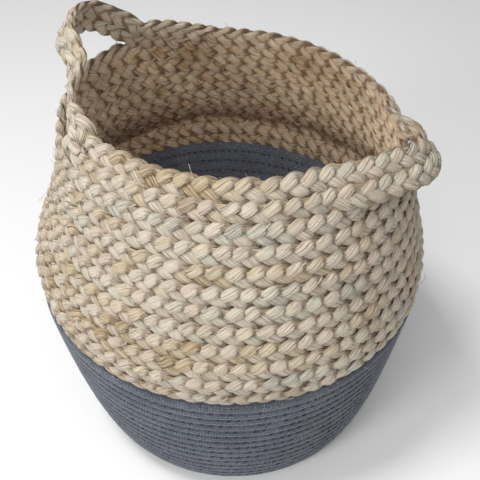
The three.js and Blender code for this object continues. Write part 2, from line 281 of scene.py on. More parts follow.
braid = {"step": 2.1, "period": 42.0, "spread": 6.15, "depth": 1.3, "handleDepth": 0.75,
         "halfWidth": 4.55, "halfThickness": 2.15, "wallLean": 0.2, "handleLean": 0.05,
         "roll": 0.6, "sides": 12, "straight": 0.1, "swell": 0.06, "edgeNarrow": 0.1,
         "upperWide": 0.06, "tailLength": 22, "tailSize": 0.35, "grainShift": 977, "seed": 7}
braidCore = {"halfWidth": 8.2, "halfThickness": 1.1, "sides": 6, "handleWiden": 0.14, "tone": 0.24}
# how far each value strays, and over what length of plait
strays = {"phase": (0.32, 31), "spread": (0.09, 23), "depth": (0.25, 19), "roll": (0.2, 17),
          "size": (0.1, 13)}
leafTone = {"least": 0.2, "own": 0.45, "patch": 0.35, "patchLength": 120}
smoothing = {"middle": 3, "across": 4, "width": 4, "handle": 8}   # samples to each side

middles = np.vstack([p[0] for _, p in plaitParts])
joined = np.linalg.norm(np.diff(middles, axis=0), axis=1)
keep = np.concatenate([[True], joined > 0.05])   # without the points that two parts share
acrosses = np.vstack([p[1] for _, p in plaitParts])[keep]
widthsAll = np.concatenate([p[2] for _, p in plaitParts])[keep]
partOf = np.concatenate([np.full(len(p[0]), i) for i, (_, p) in enumerate(plaitParts)])[keep]
middles = middles[keep]
rawRun, plaitRun, (plaitMiddle, plaitAcross, plaitWidth) = evenly(
    middles, [middles, acrosses, widthsAll[:, None]], braid["step"])
plaitMiddle = smoothed(plaitMiddle, smoothing["middle"])
plaitAcross = smoothed(plaitAcross, smoothing["across"])
plaitWidth = smoothed(plaitWidth, smoothing["width"])[:, 0]
_, plaitAcross, plaitOut = frameOf(plaitMiddle, plaitAcross)
handleParts = [i for i, (name, _) in enumerate(plaitParts) if name.startswith(("left", "right"))]
onHandle = np.interp(plaitRun, rawRun, np.isin(partOf, handleParts))
onHandle = smoothed(onHandle[:, None], smoothing["handle"])[:, 0]
partStart = {name: rawRun[np.argmax(partOf == i)] for i, (name, _) in enumerate(plaitParts)}
partEnd = {name: rawRun[len(partOf) - 1 - np.argmax(partOf[::-1] == i)]
           for i, (name, _) in enumerate(plaitParts)}
print(f"plait {plaitRun[-1] / 1000:.2f} m long, {plaitRun[-1] / braid['period']:.0f} periods")


def wander(run, reach, seed):
    # smooth random values from -1 to 1 along a run
    rng = np.random.default_rng(seed)
    knots = np.arange(run[0] - reach, run[-1] + 2 * reach, reach)
    return np.interp(run, knots, rng.uniform(-1, 1, len(knots)))


def strayed(key, seed):
    amount, reach = strays[key]
    return amount * wander(plaitRun, reach, seed)


def braidStrands():
    # three strands over and under each other along the whole plait
    b = braid
    scale = plaitWidth / plait["pitch"]
    tail = smoothStep(plaitRun[-1] - plaitRun, 0, b["tailLength"])
    scale = scale * (b["tailSize"] + (1 - b["tailSize"]) * tail)
    lean = b["wallLean"] * (1 - onHandle) + b["handleLean"] * onHandle
    strands = []
    for i in range(3):
        seed = b["seed"] + 10 * i
        phase = 2 * math.pi * (plaitRun / b["period"] + i / 3) + strayed("phase", seed)
        side = (np.sin(phase) - b["straight"] * np.sin(3 * phase)) / (1 + b["straight"])
        over = np.sin(2 * phase)
        spread = b["spread"] * scale * (1 + strayed("spread", seed + 1))
        depth = b["depth"] * scale * (1 + strayed("depth", seed + 2))
        depth = depth * (1 - (1 - b["handleDepth"]) * onHandle)
        middle = (plaitMiddle + plaitAcross * (side * spread)[:, None]
                  + plaitOut * (over * depth + lean * side * spread)[:, None])
        roll = b["roll"] * side * np.abs(side) + strayed("roll", seed + 3)
        lay = plaitOut * np.cos(roll)[:, None] + plaitAcross * np.sin(roll)[:, None]
        size = scale * (1 + b["swell"] * over - b["edgeNarrow"] * side ** 2 + b["upperWide"] * side
                        + strayed("size", seed + 4))
        # each leaf has its own tone, which changes where the strand dives under
        leaf = np.floor(phase / math.pi - 0.75).astype(int)
        rng = np.random.default_rng(seed + 5)
        tones = rng.uniform(0, 1, leaf.max() - leaf.min() + 2)
        patch = 0.5 + 0.5 * wander(plaitRun, leafTone["patchLength"], b["seed"])
        tone = (leafTone["least"] + leafTone["own"] * tones[leaf - leaf.min()]
                + leafTone["patch"] * patch)
        strands.append({"at": middle, "lay": lay, "size": size, "tone": tone, "over": over,
                        "run": plaitRun + b["grainShift"] * i})   # no two strands look alike
    core = {"at": plaitMiddle, "lay": unit(plaitOut - plaitAcross * lean[:, None]),
            "size": scale * (1 + braidCore["handleWiden"] * onHandle),
            "tone": np.full(len(plaitRun), braidCore["tone"]),
            "over": np.zeros(len(plaitRun)), "run": plaitRun}
    return strands, core


strands, core = braidStrands()
looseLook = {"spacing": 310.0, "shift": 120, "margin": 60.0, "samples": 9, "lift": 2.6,
             "sideways": 2.5, "size": 0.82, "taper": 0.72, "seed": 4}


def looseEnds():
    # leaf tips that leave the plait here and there, each with its place along the run
    rng = np.random.default_rng(looseLook["seed"])
    count = looseLook["samples"]
    fade = np.linspace(0, 1, count)
    ends = []
    for place in np.arange(looseLook["margin"], plaitRun[-1] - looseLook["margin"],
                           looseLook["spacing"]):
        strand = strands[rng.integers(3)]
        shift = rng.uniform(-looseLook["shift"], looseLook["shift"])
        first = int((place + shift) / braid["step"])
        while strand["over"][first] < 0.9:   # where the strand is on top
            first += 1
        part = slice(first, first + count)
        line = {key: value[part].copy() for key, value in strand.items()}
        sideways = plaitAcross[part] * rng.uniform(-looseLook["sideways"], looseLook["sideways"])
        line["at"] += (plaitOut[part] * looseLook["lift"] + sideways) * (fade ** 2)[:, None]
        line["size"] = line["size"] * (looseLook["size"] - looseLook["taper"] * fade ** 1.5)
        line["over"] = np.ones(count)
        ends.append((first, line))
    return ends


loose = looseEnds()


def newTree(name, sockets):
    tree = bpy.data.node_groups.new(name, "GeometryNodeTree")
    tree.interface.new_socket("Geometry", in_out="INPUT", socket_type="NodeSocketGeometry")
    for label, kind, value in sockets:
        s = tree.interface.new_socket(label, in_out="INPUT", socket_type=f"NodeSocket{kind}")
        if value is not None:
            s.default_value = value
    tree.interface.new_socket("Geometry", in_out="OUTPUT", socket_type="NodeSocketGeometry")
    tree.is_modifier = True
    return tree, tree.nodes.new("NodeGroupInput"), tree.nodes.new("NodeGroupOutput")


def named(tree, name, kind):
    node = tree.nodes.new("GeometryNodeInputNamedAttribute")
    node.data_type = kind
    node.inputs["Name"].default_value = name
    return node.outputs["Attribute"]


def strandTree():
    # sweeps an oval along each path; "lay" is the way its thin side faces
    tree, given, result = newTree("strandSweep", [
        ("Half Thickness", "Float", 0.002), ("Half Width", "Float", 0.004),
        ("Sides", "Int", 10), ("Material", "Material", None)])
    n, link = tree.nodes, tree.links.new
    curve = n.new("GeometryNodeMeshToCurve")
    normal = n.new("GeometryNodeSetCurveNormal")
    normal.mode = "FREE"
    ring = n.new("GeometryNodeCurvePrimitiveCircle")
    ring.inputs["Radius"].default_value = 1
    keepRing = n.new("GeometryNodeStoreNamedAttribute")
    keepRing.data_type = "FLOAT_VECTOR"
    keepRing.inputs["Name"].default_value = "section"
    place = n.new("GeometryNodeInputPosition")
    oval = n.new("ShaderNodeCombineXYZ")
    scaled = n.new("GeometryNodeTransform")
    sweep = n.new("GeometryNodeCurveToMesh")
    sweep.inputs["Fill Caps"].default_value = True
    smooth = n.new("GeometryNodeSetShadeSmooth")
    corners = n.new("GeometryNodeInputMeshFaceNeighbors")
    notCap = n.new("FunctionNodeCompare")
    notCap.data_type, notCap.operation = "INT", "LESS_EQUAL"
    notCap.inputs[3].default_value = 4   # a cap has more corners and stays flat
    link(corners.outputs["Vertex Count"], notCap.inputs[2])
    link(notCap.outputs[0], smooth.inputs["Shade Smooth"])
    paint = n.new("GeometryNodeSetMaterial")
    real = n.new("GeometryNodeRealizeInstances")
    link(given.outputs["Geometry"], curve.inputs["Mesh"])
    link(curve.outputs["Curve"], normal.inputs["Curve"])
    link(named(tree, "lay", "FLOAT_VECTOR"), normal.inputs["Normal"])
    link(given.outputs["Sides"], ring.inputs["Resolution"])
    link(ring.outputs["Curve"], keepRing.inputs["Geometry"])
    link(place.outputs["Position"], keepRing.inputs["Value"])
    link(given.outputs["Half Thickness"], oval.inputs["X"])
    link(given.outputs["Half Width"], oval.inputs["Y"])
    oval.inputs["Z"].default_value = 1
    link(keepRing.outputs["Geometry"], scaled.inputs["Geometry"])
    link(oval.outputs["Vector"], scaled.inputs["Scale"])
    link(normal.outputs["Curve"], sweep.inputs["Curve"])
    link(scaled.outputs["Geometry"], sweep.inputs["Profile Curve"])
    link(named(tree, "size", "FLOAT"), sweep.inputs["Scale"])
    link(sweep.outputs["Mesh"], smooth.inputs["Geometry"])
    link(smooth.outputs["Geometry"], real.inputs["Geometry"])
    link(real.outputs["Geometry"], paint.inputs["Geometry"])
    link(given.outputs["Material"], paint.inputs["Material"])
    link(paint.outputs["Geometry"], result.inputs["Geometry"])
    return tree


def times(tree, socket, factor):
    node = tree.nodes.new("ShaderNodeMath")
    node.operation = "MULTIPLY"
    node.inputs[1].default_value = factor
    tree.links.new(socket, node.inputs[0])
    return node.outputs[0]


def bentThread(tree, length, rise, radius, ends, samples, sides):
    # a thread along X that rises in its middle; ends says between which shares of its length
    n, link = tree.nodes, tree.links.new
    bow = n.new("GeometryNodeCurvePrimitiveBezierSegment")
    bow.inputs["Resolution"].default_value = samples
    for name, share, high in (("Start", ends[0], False), ("Start Handle", ends[0], True),
                              ("End Handle", ends[1], True), ("End", ends[1], False)):
        point = n.new("ShaderNodeCombineXYZ")
        link(times(tree, length, share), point.inputs["X"])
        if high:
            link(rise, point.inputs["Z"])
        link(point.outputs["Vector"], bow.inputs[name])
    ring = n.new("GeometryNodeCurvePrimitiveCircle")
    ring.inputs["Resolution"].default_value = sides
    link(radius, ring.inputs["Radius"])
    thread = n.new("GeometryNodeCurveToMesh")
    thread.inputs["Fill Caps"].default_value = True
    link(bow.outputs["Curve"], thread.inputs["Curve"])
    link(ring.outputs["Curve"], thread.inputs["Profile Curve"])
    return thread.outputs["Mesh"]


def stitchTree():
    # sets a short bent thread on each point, its height along "lay" and its length along "way"
    tree, given, result = newTree("stitchRow", [
        ("Length", "Float", 0.004), ("Thread", "Float", 0.0006), ("Arch", "Float", 0.0008),
        ("Material", "Material", None)])
    n, link = tree.nodes, tree.links.new
    points = n.new("GeometryNodeMeshToPoints")
    points.inputs["Radius"].default_value = 0.001
    thread = bentThread(tree, given.outputs["Length"], given.outputs["Arch"],
                        given.outputs["Thread"], (-0.5, 0.5), 4, 5)
    upright = n.new("FunctionNodeAlignRotationToVector")
    upright.axis = "Z"
    turned = n.new("FunctionNodeAlignRotationToVector")
    turned.axis = "X"
    turned.pivot_axis = "Z"
    link(named(tree, "lay", "FLOAT_VECTOR"), upright.inputs["Vector"])
    link(upright.outputs["Rotation"], turned.inputs["Rotation"])
    link(named(tree, "way", "FLOAT_VECTOR"), turned.inputs["Vector"])
    put = n.new("GeometryNodeInstanceOnPoints")
    link(given.outputs["Geometry"], points.inputs["Mesh"])
    link(points.outputs["Points"], put.inputs["Points"])
    link(thread, put.inputs["Instance"])
    link(turned.outputs["Rotation"], put.inputs["Rotation"])
    link(named(tree, "size", "FLOAT"), put.inputs["Scale"])
    real = n.new("GeometryNodeRealizeInstances")
    smooth = n.new("GeometryNodeSetShadeSmooth")
    paint = n.new("GeometryNodeSetMaterial")
    link(put.outputs["Instances"], real.inputs["Geometry"])
    link(real.outputs["Geometry"], smooth.inputs["Geometry"])
    link(smooth.outputs["Geometry"], paint.inputs["Geometry"])
    link(given.outputs["Material"], paint.inputs["Material"])
    link(paint.outputs["Geometry"], result.inputs["Geometry"])
    return tree


fibreLook = {"density": 1300.0, "length": 0.009, "radius": 0.00015, "rise": 0.3, "tilt": 0.25,
             "sizes": (0.5, 1.3)}


def fibreTree():
    # scatters thin bent fibres over a surface, most of them lying close to it
    tree, given, result = newTree("strayFibres", [
        ("Density", "Float", 900.0), ("Seed", "Int", 3), ("Length", "Float", 0.014),
        ("Radius", "Float", 0.00022), ("Material", "Material", None)])
    n, link = tree.nodes, tree.links.new
    scatter = n.new("GeometryNodeDistributePointsOnFaces")
    length = given.outputs["Length"]
    hair = bentThread(tree, length, times(tree, length, fibreLook["rise"]),
                      given.outputs["Radius"], (0, 1), 5, 3)
    spin = n.new("FunctionNodeRandomValue")
    spin.data_type = "FLOAT_VECTOR"
    spin.inputs[0].default_value = (-fibreLook["tilt"], -fibreLook["tilt"], 0)
    spin.inputs[1].default_value = (fibreLook["tilt"], fibreLook["tilt"], 6.283)
    size = n.new("FunctionNodeRandomValue")
    size.inputs[2].default_value, size.inputs[3].default_value = fibreLook["sizes"]
    turned = n.new("FunctionNodeRotateRotation")
    turned.rotation_space = "LOCAL"
    toRotation = n.new("FunctionNodeEulerToRotation")
    put = n.new("GeometryNodeInstanceOnPoints")
    link(given.outputs["Geometry"], scatter.inputs["Mesh"])
    link(given.outputs["Density"], scatter.inputs["Density"])
    link(given.outputs["Seed"], scatter.inputs["Seed"])
    link(scatter.outputs["Points"], put.inputs["Points"])
    link(scatter.outputs["Rotation"], turned.inputs["Rotation"])
    link(spin.outputs[0], toRotation.inputs[0])
    link(toRotation.outputs[0], turned.inputs["Rotate By"])
    link(turned.outputs[0], put.inputs["Rotation"])
    link(size.outputs[1], put.inputs["Scale"])
    link(hair, put.inputs["Instance"])
    real = n.new("GeometryNodeRealizeInstances")
    paint = n.new("GeometryNodeSetMaterial")
    link(put.outputs["Instances"], real.inputs["Geometry"])
    link(real.outputs["Geometry"], paint.inputs["Geometry"])
    link(given.outputs["Material"], paint.inputs["Material"])
    link(paint.outputs["Geometry"], result.inputs["Geometry"])
    return tree


def lineMesh(name, lines):
    # open paths as edges, with their attributes on the points, brought home and to metres
    counts = [len(line["at"]) for line in lines]
    places = (np.vstack([line["at"] for line in lines]) + home) / 1000
    edges, first = [], 0
    for count in counts:
        edges += [(first + i, first + i + 1) for i in range(count - 1)]
        first += count
    mesh = bpy.data.meshes.new(name)
    mesh.from_pydata(places.tolist(), edges, [])
    for key in lines[0]:
        if key == "at":
            continue
        value = np.concatenate([np.asarray(line[key], float) for line in lines])
        flat = value.ndim == 1
        store = mesh.attributes.new(key, "FLOAT" if flat else "FLOAT_VECTOR", "POINT")
        store.data.foreach_set("value" if flat else "vector", value.ravel())
    return mesh


def grown(name, mesh, tree, inputs):
    # runs a tree on a mesh and keeps its result as a plain mesh object
    carrier = bpy.data.objects.new(name + "_path", mesh)
    scene.collection.objects.link(carrier)
    modifier = carrier.modifiers.new(tree.name, "NODES")
    modifier.node_group = tree
    for item in tree.interface.items_tree:
        if item.in_out == "INPUT" and item.name in inputs:
            modifier[item.identifier] = inputs[item.name]
    ready = carrier.evaluated_get(bpy.context.evaluated_depsgraph_get())
    result = bpy.data.meshes.new_from_object(ready)
    result.name = name
    carrier.modifiers.clear()
    bpy.data.objects.remove(carrier)
    piece = bpy.data.objects.new(name, result)
    scene.collection.objects.link(piece)
    return piece


def colour(r, g, b):
    # a colour named by its screen values
    return tuple(((c / 255 + 0.055) / 1.055) ** 2.4 if c > 10 else c / 255 / 12.92
                 for c in (r, g, b)) + (1,)


class Shader:
    # a few short words for building a node material
    def __init__(self, name):
        self.material = bpy.data.materials.new(name)
        self.material.use_nodes = True
        self.nodes = self.material.node_tree.nodes
        self.link = self.material.node_tree.links.new
        self.surface = next(n for n in self.nodes if n.type == "BSDF_PRINCIPLED")

    def node(self, kind, **settings):
        made = self.nodes.new(f"ShaderNode{kind}")
        for key, value in settings.items():
            setattr(made, key, value)
        return made

    def put(self, socket, value):
        if hasattr(value, "is_output"):
            self.link(value, socket)
        else:
            socket.default_value = value

    def attribute(self, name, output="Fac"):
        return self.node("Attribute", attribute_name=name).outputs[output]

    def math(self, operation, a, b=0.0, clamp=False):
        made = self.node("Math", operation=operation, use_clamp=clamp)
        self.put(made.inputs[0], a)
        self.put(made.inputs[1], b)
        return made.outputs[0]

    def vector(self, operation, a, b=None):
        made = self.node("VectorMath", operation=operation)
        self.put(made.inputs[0], a)
        if b is not None:
            self.put(made.inputs[1], b)
        return made.outputs["Value" if operation == "DOT_PRODUCT" else "Vector"]

    def combine(self, x, y, z):
        made = self.node("CombineXYZ")
        for socket, value in zip(made.inputs, (x, y, z)):
            self.put(socket, value)
        return made.outputs[0]

    def noise(self, vector, scale, detail=2.0, roughness=0.5):
        made = self.node("TexNoise")
        self.put(made.inputs["Vector"], vector)
        made.inputs["Scale"].default_value = scale
        made.inputs["Detail"].default_value = detail
        made.inputs["Roughness"].default_value = roughness
        return made.outputs["Fac"]

    def ranged(self, value, low, high, toLow=0.0, toHigh=1.0):
        made = self.node("MapRange", clamp=True)
        for socket, v in zip(made.inputs, (value, low, high, toLow, toHigh)):
            self.put(socket, v)
        return made.outputs[0]

    def ramp(self, value, stops):
        made = self.node("ValToRGB")
        elements = made.color_ramp.elements
        while len(elements) < len(stops):
            elements.new(0.5)
        for element, (place, c) in zip(elements, stops):
            element.position = place
            element.color = c
        self.put(made.inputs[0], value)
        return made.outputs["Color"]

    def mixed(self, share, a, b, blend="MIX"):
        made = self.node("Mix", data_type="RGBA", blend_type=blend)
        self.put(made.inputs["Factor"], share)
        self.put(made.inputs[6], a)
        self.put(made.inputs[7], b)
        return made.outputs[2]

    def split(self, vector):
        made = self.node("SeparateXYZ")
        self.link(vector, made.inputs[0])
        return made.outputs

    def bump(self, height, distance, strength=1.0, normal=None):
        made = self.node("Bump")
        made.inputs["Strength"].default_value = strength
        made.inputs["Distance"].default_value = distance
        self.put(made.inputs["Height"], height)
        if normal is not None:
            self.put(made.inputs["Normal"], normal)
        return made.outputs["Normal"]


huskLook = {
    "tones": [(0.0, colour(106, 84, 60)), (0.14, colour(164, 140, 106)), (0.3, colour(194, 176, 146)),
              (0.44, colour(205, 193, 171)), (0.56, colour(204, 189, 173)), (0.7, colour(211, 200, 181)),
              (0.84, colour(200, 195, 176)), (1.0, colour(186, 180, 170))],
    "shade": colour(104, 76, 54), "diveShade": colour(132, 104, 80), "grainAndCreaseShade": colour(176, 156, 132),
    "blotch": colour(190, 160, 136), "inside": colour(226, 197, 163), "fold": colour(134, 98, 76),
    "streak": 0.42, "roughness": 0.62, "insideTintAndShadeShare": 0.55, "foldShare": 0.75, "rimShare": 0.35,
    # heights in metres: where the fold's painted shade and brown staining start, where they fade, where the
    # rim gets light
    "foldStart": (0.176, 0.181), "foldFade": (0.212, 0.184), "rimLight": (0.30, 0.335),
    "foldTilt": 0.084,   # how much the fold rises towards the back
    "grain": (3.4, 0.035),   # across a leaf and along it
    # each pattern's scale, detail and roughness
    "fine": (2.8, 3, 0.6), "folds": (0.9, 1.5, 0.5), "blotches": (22, 2, 0.5), "specks": (420, 2, 0.6),
}
ropeLook = {"dark": colour(50, 54, 63), "main": colour(93, 98, 108), "pale": colour(150, 154, 164),
            "roughness": 0.92, "knit": (6.0, 1.35),   # around the rope and along it
            "heather": (700, 3, 0.65), "cloud": (34, 2, 0.5)}
threadLook = {"rope": colour(40, 44, 56), "plait": colour(214, 204, 182), "shade": colour(120, 120, 124)}


def facingInside(s, place):
    # 1 where a face looks at the inside of the basket
    outwards = s.vector("NORMALIZE", s.vector("MULTIPLY", place, (1, 1, 0)))
    return s.ranged(s.vector("DOT_PRODUCT", outwards, s.node("NewGeometry").outputs["Normal"]), 0.15, -0.35)


def huskMaterial():
    s = Shader("huskPlait")
    section, run = s.split(s.attribute("section", "Vector")), s.attribute("run")
    across, along = huskLook["grain"]
    grain = s.combine(s.math("MULTIPLY", section["X"], across), s.math("MULTIPLY", section["Y"], across),
                      s.math("MULTIPLY", run, along))
    fine, folds = s.noise(grain, *huskLook["fine"]), s.noise(grain, *huskLook["folds"])
    place = s.node("TexCoord").outputs["Object"]
    blotch, speck = s.noise(place, *huskLook["blotches"]), s.noise(place, *huskLook["specks"])
    tone = s.math("ADD", s.attribute("tone"), s.ranged(folds, 0.3, 0.7, -0.16, 0.16), clamp=True)
    base = s.ramp(tone, huskLook["tones"])
    # fine fibre streaks are the husk's own grain; the grooves of the folds get painted shade
    for share, tint in ((s.ranged(fine, 0.5, 0.3, 0, huskLook["streak"]), huskLook["grainAndCreaseShade"]),
                        (s.ranged(folds, 0.4, 0.28, 0, 0.4), huskLook["grainAndCreaseShade"]),
                        (s.ranged(blotch, 0.5, 0.75, 0, 0.35), huskLook["blotch"])):
        base = s.mixed(share, base, tint, "MULTIPLY")
    base = s.mixed(s.ranged(speck, 0.64, 0.75, 0, 0.5), base, huskLook["shade"])
    inner, where = facingInside(s, place), s.split(place)
    # painted shade: the parts of a leaf that go under the next ones are darkened, on either face of the
    # wall
    facing = s.math("SUBTRACT", 1.0, s.math("MULTIPLY", inner, 2.0))
    diveShade = s.ranged(s.math("MULTIPLY", s.attribute("over"), facing), 0.35, -0.35)
    diveShade = s.math("MULTIPLY", diveShade, s.ranged(inner, 0, 1, 0.4, 0.8))
    base = s.mixed(diveShade, base, huskLook["diveShade"], "MULTIPLY")
    # faces that look inside get a browner tint, partly the husk's own colour and partly painted shade, with
    # less of it up at the rim
    below = s.ranged(where["Z"], *huskLook["rimLight"], 1.0, huskLook["rimShare"])
    shaded = s.math("MULTIPLY", s.math("MULTIPLY", inner, below), huskLook["insideTintAndShadeShare"])
    base = s.mixed(shaded, base, huskLook["inside"], "MULTIPLY")
    # painted shade along the fold that the belly makes inside, where the husk is also stained brown, fading
    # upwards
    level = s.math("SUBTRACT", where["Z"], s.math("MULTIPLY", where["Y"], huskLook["foldTilt"]))
    level = s.math("ADD", level, s.ranged(blotch, 0.3, 0.7, -0.006, 0.006))
    start, fade = s.ranged(level, *huskLook["foldStart"]), s.ranged(level, *huskLook["foldFade"])
    foldShadeAndStain = s.math("MULTIPLY", s.math("MULTIPLY", start, fade), inner)
    foldShadeAndStain = s.math("MULTIPLY", foldShadeAndStain, huskLook["foldShare"])
    base = s.mixed(foldShadeAndStain, base, huskLook["fold"], "MULTIPLY")
    s.link(base, s.surface.inputs["Base Color"])
    rough = s.ranged(fine, 0.3, 0.7, huskLook["roughness"] + 0.15, huskLook["roughness"] - 0.1)
    s.link(rough, s.surface.inputs["Roughness"])
    s.surface.inputs["Specular IOR Level"].default_value = 0.35
    normal = s.bump(folds, 0.003, 0.9)
    s.link(s.bump(fine, 0.0009, 0.9, normal), s.surface.inputs["Normal"])
    return s.material


def ropeMaterial():
    s = Shader("cottonRope")
    section, run = s.split(s.attribute("section", "Vector")), s.attribute("run")
    around = s.math("ARCTAN2", section["Y"], section["X"])
    place = s.node("TexCoord").outputs["Object"]
    waves = []
    for way in (1, -1):
        turned = s.math("MULTIPLY", around, ropeLook["knit"][0] * way)
        waves.append(s.math("SINE", s.math("ADD", turned, s.math("MULTIPLY", run, ropeLook["knit"][1]))))
    knit = s.math("MULTIPLY", waves[0], waves[1])
    heather, cloud = s.noise(place, *ropeLook["heather"]), s.noise(place, *ropeLook["cloud"])
    base = s.ramp(s.ranged(heather, 0.3, 0.7), [(0.0, ropeLook["dark"]), (0.45, ropeLook["main"]),
                                                (0.72, ropeLook["main"]), (1.0, ropeLook["pale"])])
    base = s.mixed(s.ranged(cloud, 0.35, 0.7, 0, 0.35), base, ropeLook["dark"])
    base = s.mixed(s.ranged(knit, -0.2, -0.9, 0, 0.35), base, ropeLook["dark"])
    s.link(base, s.surface.inputs["Base Color"])
    s.surface.inputs["Roughness"].default_value = ropeLook["roughness"]
    s.surface.inputs["Specular IOR Level"].default_value = 0.2
    s.surface.inputs["Sheen Weight"].default_value = 0.25
    s.surface.inputs["Sheen Roughness"].default_value = 0.5
    normal = s.bump(knit, 0.0006, 0.55)
    s.link(s.bump(heather, 0.0009, 0.7, normal), s.surface.inputs["Normal"])
    return s.material


def threadMaterial(name, tint):
    s = Shader(name)
    place = s.node("TexCoord").outputs["Object"]
    share = s.ranged(s.noise(place, 900), 0.35, 0.65, 0, 0.5)
    base = s.mixed(share, tint, threadLook["shade"], "MULTIPLY")
    s.link(base, s.surface.inputs["Base Color"])
    s.surface.inputs["Roughness"].default_value = 0.8
    return s.material


husk = huskMaterial()
cotton = ropeMaterial()
ropeThread = threadMaterial("ropeThread", threadLook["rope"])
plaitThread = threadMaterial("plaitThread", threadLook["plait"])
sweepTree = strandTree()
stitches = stitchTree()
fibres = fibreTree()
print("materials and node trees made")

hidden = {"samples": 2, "size": 0.88}   # a cut end goes on into the next piece, a little thinner


def cutLines(spans, paths):
    # the given paths over each span of the plait's run
    lines = []
    for start, end in spans:
        low = max(int(math.ceil(start / braid["step"] - 1e-6)), 0)
        high = min(int(math.ceil(end / braid["step"] - 1e-6)), len(plaitRun) - 1)
        first = max(low - hidden["samples"], 0)
        stop = min(high + 1 + hidden["samples"], len(plaitRun))
        thinner = np.ones(stop - first)
        thinner[:low - first] = thinner[high + 1 - first:] = hidden["size"]
        for path in paths:
            line = {key: value[first:stop] for key, value in path.items()}
            line["size"] = line["size"] * thinner
            lines.append(line)
        if paths is strands:
            lines += [line for at, line in loose if low <= at < high - looseLook["samples"]]
    return lines


def plaitPiece(name, spans, nodes, bend=None):
    # bend is a body and the two places between which the piece would turn with it; only whether it is given
    # is read, and such a piece is baked where it stands instead of being put on the basket
    piece = grown(name, lineMesh(name, cutLines(spans, strands)), sweepTree, {
        "Half Thickness": braid["halfThickness"] / 1000, "Half Width": braid["halfWidth"] / 1000,
        "Sides": braid["sides"], "Material": husk})
    backing = grown(name + "_core", lineMesh(name + "_core", cutLines(spans, [core])), sweepTree, {
        "Half Thickness": braidCore["halfThickness"] / 1000, "Half Width": braidCore["halfWidth"] / 1000,
        "Sides": braidCore["sides"], "Material": husk})
    with bpy.context.temp_override(active_object=piece, selected_editable_objects=[piece, backing]):
        bpy.ops.object.join()
    if bend:
        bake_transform(piece)
    else:
        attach(piece, "basket")
    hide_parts(*nodes)
    print(f"{name}: {len(piece.data.polygons)} faces")
    if not bend:
        hairs = grown(name + "_fibres", piece.data.copy(), fibres, {
            "Density": fibreLook["density"], "Seed": len(name), "Length": fibreLook["length"],
            "Radius": fibreLook["radius"], "Material": plaitThread})
        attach(hairs, "basket")
        print(f"{name}_fibres: {len(hairs.data.polygons)} faces")


lap = 24.0   # length of rim that goes into a handle's pieces, beyond each root
bellyEnd = partEnd["belly"] - lap
bellySplit = bellyEnd / 2
plaitPiece("belly_plait_lower", [(0, bellySplit)], ["belly_plait_coil"])
plaitPiece("belly_plait_upper", [(bellySplit, bellyEnd)], ["belly_plait_coil"])
for rim, part in (("front_rim_lower", "frontLower"), ("front_rim_upper", "frontUpper"),
                  ("back_rim_upper", "backUpper")):
    plaitPiece(rim + "_plait", [(partStart[part] + lap, partEnd[part] - lap)], [rim + "_row"])

# how far each root's bend would reach out of the loop and into it, in metres
handleBends = {"left": (0.008, 0.008), "right": (0.008, 0.006)}


def handleHalves(side, handle, nodes):
    # two halves, each over its own root, that meet in the middle of the loop
    lower, upper = side + "Lower", side + "Upper"
    bendOut, bendIn = handleBends[side]
    roots = [(bandAt(turnAt(angle, 0))[0] + home) / 1000 for angle in handle["roots"]]
    axis = unit(roots[1] - roots[0])
    halfLower = (partStart[lower] + partEnd[lower]) / 2
    halfUpper = (partStart[upper] + partEnd[upper]) / 2
    halves = (
        ("first", [(partStart[lower] - lap, halfLower), (partStart[upper] - lap, halfUpper)],
         roots[0], axis),
        ("second", [(halfLower, partEnd[lower] + lap), (halfUpper, partEnd[upper] + lap)],
         roots[1], -axis),
    )
    for name, spans, root, inwards in halves:
        start, end = Vector(root - inwards * bendOut), Vector(root + inwards * bendIn)
        plaitPiece(f"{side}_handle_{name}_half", spans, nodes, (f"{side}_handle", start, end))


handleHalves("left", leftHandle, ["left_handle_lower_row", "left_handle_upper_row"])
handleHalves("right", rightHandle,
             ["right_handle_lower_row", "right_handle_upper_row", "plait_end"])

cord = {"step": 4.0, "halfWidth": 5.35, "wallThickness": 4.7, "baseThickness": 4.0, "sides": 14,
        "endGap": 0.3, "cutRadius": 120, "wobble": 0.015, "wobbleLength": 9, "seed": 5}


def turnsFrom(start, end):
    return np.linspace(start, end, int((end - start) * samplesPerTurn["rope"]) + 2)


def ropeLine(start, end):
    middle, across, width = rowOnWall(turnsFrom(start, end), ropeEdges, ropeAngle)
    _, even, (middle, across, width) = evenly(middle, [middle, across, width[:, None]], cord["step"])
    _, _, out = frameOf(middle, across)
    return {"at": middle, "lay": out, "size": width[:, 0] / rope["pitch"], "run": even}


def ropePiece(name, node, start, end, thickness):
    line = ropeLine(start, end)
    wobble = wander(line["run"], cord["wobbleLength"], cord["seed"])
    line["size"] = line["size"] * (1 + cord["wobble"] * wobble)
    piece = grown(name, lineMesh(name, [line]), sweepTree, {
        "Half Thickness": thickness / 1000, "Half Width": cord["halfWidth"] / 1000,
        "Sides": cord["sides"], "Material": cotton})
    places = np.empty(3 * len(piece.data.vertices))
    piece.data.vertices.foreach_get("co", places)
    places[2::3] = np.maximum(places[2::3], 0)   # pressed flat where it rests
    piece.data.vertices.foreach_set("co", places)
    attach(piece, "basket")
    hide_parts(node)
    print(f"{name}: {line['run'][-1] / 1000:.2f} m, {len(piece.data.polygons)} faces")


ropeAngle = join - 2 * math.pi * ropeTurns
endGap = cord["endGap"] / (2 * math.pi * cord["cutRadius"])   # in turns
ropePiece("base_rope", "base_rope_coil", 0.0, baseTurns - endGap, cord["baseThickness"])
ropePiece("wall_rope", "wall_rope_coil", baseTurns + endGap, ropeTurns, cord["wallThickness"])

